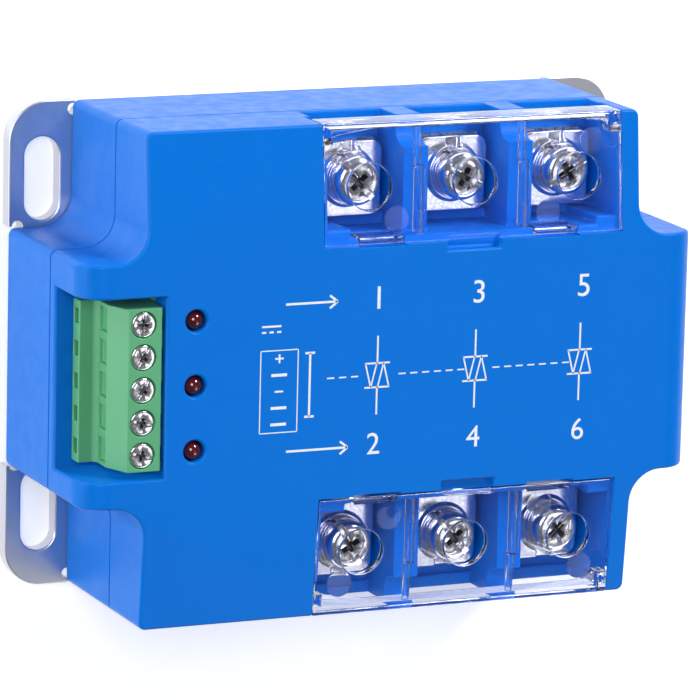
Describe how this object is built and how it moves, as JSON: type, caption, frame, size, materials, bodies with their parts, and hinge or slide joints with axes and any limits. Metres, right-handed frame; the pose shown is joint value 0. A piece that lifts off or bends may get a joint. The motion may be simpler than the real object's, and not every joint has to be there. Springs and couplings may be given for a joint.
{
  "type": "solid state relay",
  "caption": "Panel-mounted polyphase solid state relay: blue plastic housing on a slotted metal base plate, hinged clear terminal covers, screw terminals and a pluggable control connector.",
  "frame": {"origin": "centre of the base plate's underside, on the surface it is screwed to", "axes": "+Z out of the labelled face, +X along the long side away from the control plug, +Y towards the supply-side terminals"},
  "size_m": [0.1034, 0.0776, 0.0368],
  "materials": {
    "housing_blue": "moulded flame-retardant plastic with a fine satin texture",
    "base_metal": "nickel-plated plate, rolled and satin",
    "cover_clear": "clear polished polycarbonate",
    "plug_green": "moulded polyamide, satin",
    "bright_metal": "bright zinc or nickel plating",
    "tinned_copper": "tin-plated copper",
    "brass": "drawn brass",
    "steel": "zinc-plated steel",
    "lamp_red": "tinted clear epoxy, unlit",
    "board_green": "solder mask on glass-epoxy board",
    "chip_white": "moulded epoxy",
    "capacitor_red": "film capacitor box",
    "varistor_blue": "epoxy-dipped disc",
    "resistor_tan": "lacquered axial resistor",
    "ceramic_white": "alumina with bonded copper",
    "silicon_grey": "passivated silicon",
    "gel_clear": "soft silicone gel"
  },
  "bodies": {
    "housing": {"base_plate": "base_metal", "base_shell": "housing_blue", "front_shell": "housing_blue", "input_terminals": "tinned_copper", "output_terminals": "tinned_copper", "terminal_nuts": "steel", "control_header": "plug_green", "header_pins": "tinned_copper", "indicator_leds": "lamp_red", "control_board": "board_green", "board_screws": "steel", "optocouplers": "chip_white", "snubber_capacitors": "capacitor_red", "varistors": "varistor_blue", "board_resistors": "resistor_tan", "ceramic_substrates": "ceramic_white", "thyristor_dies": "silicon_grey", "gate_pins": "tinned_copper", "potting_gel": "gel_clear", "shell_screws": "steel"},
    "input_cover": {"input_cover": "cover_clear"},
    "output_cover": {"output_cover": "cover_clear"},
    "plug": {"plug_body": "plug_green", "plug_contacts": "brass"},
    "power_clamp_1": {"pressure_plate_1": "bright_metal", "spring_washer_1": "bright_metal"},
    "power_screw_1": {"power_screw_1": "bright_metal"},
    "power_clamp_2": {"pressure_plate_2": "bright_metal", "spring_washer_2": "bright_metal"},
    "power_screw_2": {"power_screw_2": "bright_metal"},
    "power_clamp_3": {"pressure_plate_3": "bright_metal", "spring_washer_3": "bright_metal"},
    "power_screw_3": {"power_screw_3": "bright_metal"},
    "power_clamp_4": {"pressure_plate_4": "bright_metal", "spring_washer_4": "bright_metal"},
    "power_screw_4": {"power_screw_4": "bright_metal"},
    "power_clamp_5": {"pressure_plate_5": "bright_metal", "spring_washer_5": "bright_metal"},
    "power_screw_5": {"power_screw_5": "bright_metal"},
    "power_clamp_6": {"pressure_plate_6": "bright_metal", "spring_washer_6": "bright_metal"},
    "power_screw_6": {"power_screw_6": "bright_metal"},
    "control_cage_1": {"clamp_cage_1": "brass"},
    "control_screw_1": {"control_screw_1": "bright_metal"},
    "control_cage_2": {"clamp_cage_2": "brass"},
    "control_screw_2": {"control_screw_2": "bright_metal"},
    "control_cage_3": {"clamp_cage_3": "brass"},
    "control_screw_3": {"control_screw_3": "bright_metal"},
    "control_cage_4": {"clamp_cage_4": "brass"},
    "control_screw_4": {"control_screw_4": "bright_metal"},
    "control_cage_5": {"clamp_cage_5": "brass"},
    "control_screw_5": {"control_screw_5": "bright_metal"}
  },
  "joints": [
    {"name": "input_cover_hinge", "type": "hinge", "parent": "housing", "child": "input_cover", "pos_m": [0.0129, 0.037, 0.0318], "axis": [-1, 0, 0], "range_deg": [0, 100]},
    {"name": "output_cover_hinge", "type": "hinge", "parent": "housing", "child": "output_cover", "pos_m": [0.0129, -0.037, 0.0318], "axis": [1, 0, 0], "range_deg": [0, 100]},
    {"name": "plug_pull", "type": "slide", "parent": "housing", "child": "plug", "axis": [-1, 0, 0], "range_m": [0, 0.015]},
    {"name": "power_clamp_1_lift", "type": "slide", "parent": "housing", "child": "power_clamp_1", "axis": [0, 0, 1], "range_m": [0, 0.0021]},
    {"name": "power_screw_1_turn", "type": "hinge", "parent": "power_clamp_1", "child": "power_screw_1", "pos_m": [-0.0047, 0.0288, 0.0285], "axis": [0, 0, 1], "range_deg": [0, 1080]},
    {"name": "power_clamp_2_lift", "type": "slide", "parent": "housing", "child": "power_clamp_2", "axis": [0, 0, 1], "range_m": [0, 0.0021]},
    {"name": "power_screw_2_turn", "type": "hinge", "parent": "power_clamp_2", "child": "power_screw_2", "pos_m": [0.0131, 0.0288, 0.0285], "axis": [0, 0, 1], "range_deg": [0, 1080]},
    {"name": "power_clamp_3_lift", "type": "slide", "parent": "housing", "child": "power_clamp_3", "axis": [0, 0, 1], "range_m": [0, 0.0021]},
    {"name": "power_screw_3_turn", "type": "hinge", "parent": "power_clamp_3", "child": "power_screw_3", "pos_m": [0.0309, 0.0288, 0.0285], "axis": [0, 0, 1], "range_deg": [0, 1080]},
    {"name": "power_clamp_4_lift", "type": "slide", "parent": "housing", "child": "power_clamp_4", "axis": [0, 0, 1], "range_m": [0, 0.0021]},
    {"name": "power_screw_4_turn", "type": "hinge", "parent": "power_clamp_4", "child": "power_screw_4", "pos_m": [-0.0047, -0.0288, 0.0285], "axis": [0, 0, 1], "range_deg": [0, 1080]},
    {"name": "power_clamp_5_lift", "type": "slide", "parent": "housing", "child": "power_clamp_5", "axis": [0, 0, 1], "range_m": [0, 0.0021]},
    {"name": "power_screw_5_turn", "type": "hinge", "parent": "power_clamp_5", "child": "power_screw_5", "pos_m": [0.0131, -0.0288, 0.0285], "axis": [0, 0, 1], "range_deg": [0, 1080]},
    {"name": "power_clamp_6_lift", "type": "slide", "parent": "housing", "child": "power_clamp_6", "axis": [0, 0, 1], "range_m": [0, 0.0021]},
    {"name": "power_screw_6_turn", "type": "hinge", "parent": "power_clamp_6", "child": "power_screw_6", "pos_m": [0.0309, -0.0288, 0.0285], "axis": [0, 0, 1], "range_deg": [0, 1080]},
    {"name": "control_cage_1_lift", "type": "slide", "parent": "plug", "child": "control_cage_1", "axis": [0, 0, 1], "range_m": [0, 0.002]},
    {"name": "control_screw_1_turn", "type": "hinge", "parent": "plug", "child": "control_screw_1", "pos_m": [-0.04165, -0.01091, 0.0343], "axis": [0, 0, 1], "range_deg": [-1440, 0]},
    {"name": "control_cage_2_lift", "type": "slide", "parent": "plug", "child": "control_cage_2", "axis": [0, 0, 1], "range_m": [0, 0.002]},
    {"name": "control_screw_2_turn", "type": "hinge", "parent": "plug", "child": "control_screw_2", "pos_m": [-0.04165, -0.00583, 0.0343], "axis": [0, 0, 1], "range_deg": [-1440, 0]},
    {"name": "control_cage_3_lift", "type": "slide", "parent": "plug", "child": "control_cage_3", "axis": [0, 0, 1], "range_m": [0, 0.002]},
    {"name": "control_screw_3_turn", "type": "hinge", "parent": "plug", "child": "control_screw_3", "pos_m": [-0.04165, -0.00075, 0.0343], "axis": [0, 0, 1], "range_deg": [-1440, 0]},
    {"name": "control_cage_4_lift", "type": "slide", "parent": "plug", "child": "control_cage_4", "axis": [0, 0, 1], "range_m": [0, 0.002]},
    {"name": "control_screw_4_turn", "type": "hinge", "parent": "plug", "child": "control_screw_4", "pos_m": [-0.04165, 0.00433, 0.0343], "axis": [0, 0, 1], "range_deg": [-1440, 0]},
    {"name": "control_cage_5_lift", "type": "slide", "parent": "plug", "child": "control_cage_5", "axis": [0, 0, 1], "range_m": [0, 0.002]},
    {"name": "control_screw_5_turn", "type": "hinge", "parent": "plug", "child": "control_screw_5", "pos_m": [-0.04165, 0.00941, 0.0343], "axis": [0, 0, 1], "range_deg": [-1440, 0]}
  ],
  "couplings": [
    {"joint": "power_screw_1_turn", "follows": "power_clamp_1_lift", "rad_per_m": 8975.9},
    {"joint": "power_screw_2_turn", "follows": "power_clamp_2_lift", "rad_per_m": 8975.9},
    {"joint": "power_screw_3_turn", "follows": "power_clamp_3_lift", "rad_per_m": 8975.9},
    {"joint": "power_screw_4_turn", "follows": "power_clamp_4_lift", "rad_per_m": 8975.9},
    {"joint": "power_screw_5_turn", "follows": "power_clamp_5_lift", "rad_per_m": 8975.9},
    {"joint": "power_screw_6_turn", "follows": "power_clamp_6_lift", "rad_per_m": 8975.9},
    {"joint": "control_screw_1_turn", "follows": "control_cage_1_lift", "rad_per_m": -12566},
    {"joint": "control_screw_2_turn", "follows": "control_cage_2_lift", "rad_per_m": -12566},
    {"joint": "control_screw_3_turn", "follows": "control_cage_3_lift", "rad_per_m": -12566},
    {"joint": "control_screw_4_turn", "follows": "control_cage_4_lift", "rad_per_m": -12566},
    {"joint": "control_screw_5_turn", "follows": "control_cage_5_lift", "rad_per_m": -12566}
  ]
}
